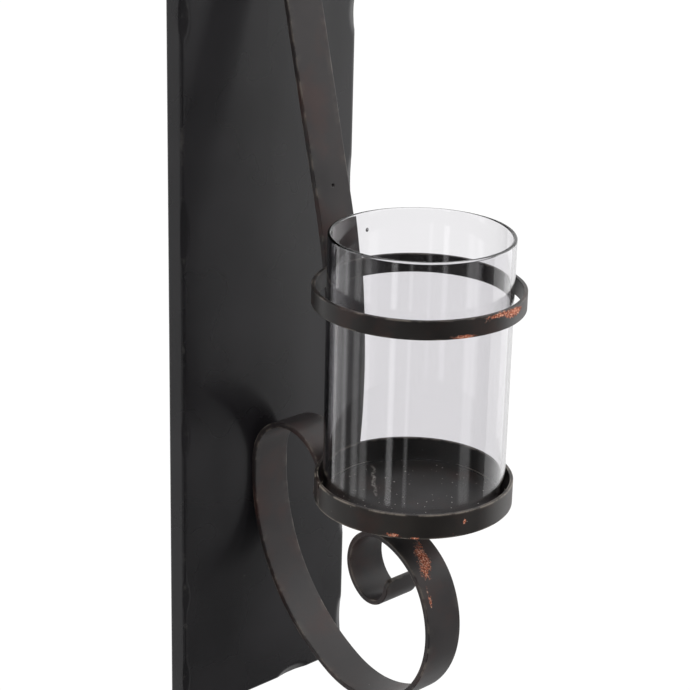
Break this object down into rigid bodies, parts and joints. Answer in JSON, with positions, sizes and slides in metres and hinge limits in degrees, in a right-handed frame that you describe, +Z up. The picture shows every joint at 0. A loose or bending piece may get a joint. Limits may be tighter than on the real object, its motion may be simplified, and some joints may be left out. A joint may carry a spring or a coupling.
{
  "type": "wall sconce candle holder",
  "caption": "Tall iron wall sconce: folded back plate, bowed flat bar and scroll carrying a hoop and a pan that hold a lift-out glass hurricane cylinder for a candle.",
  "frame": {"origin": "centre of the keyhole's round entry, on the wall plane behind the plate", "axes": "+X to the right along the wall, +Y into the wall, +Z up; the sconce stands out towards -Y"},
  "size_m": [0.13, 0.1938, 0.59],
  "materials": {
    "plate_paint": "satin near-black paint on steel sheet",
    "bar_paint": "satin brown-black paint on flat iron bar, rubbed through to rust in places",
    "weld_paint": "satin brown-black paint over weld metal",
    "clear_glass": "clear, smooth, with fire-polished rims"
  },
  "bodies": {
    "bracket": {"back_plate": "plate_paint", "hanger_strip": "plate_paint", "upper_bar": "bar_paint", "scroll_bar": "bar_paint", "bar_rivets": "bar_paint", "lap_rivet": "bar_paint", "scroll_weld": "weld_paint", "hoop_weld": "weld_paint", "pan_weld": "weld_paint", "glass_hoop": "bar_paint", "pan_wall": "bar_paint", "pan_floor": "bar_paint"},
    "glass": {"glass_cylinder": "clear_glass"}
  },
  "joints": [
    {"name": "glass_lift", "type": "slide", "parent": "bracket", "child": "glass", "axis": [0, 0, 1], "range_m": [0, 0.16]}
  ]
}
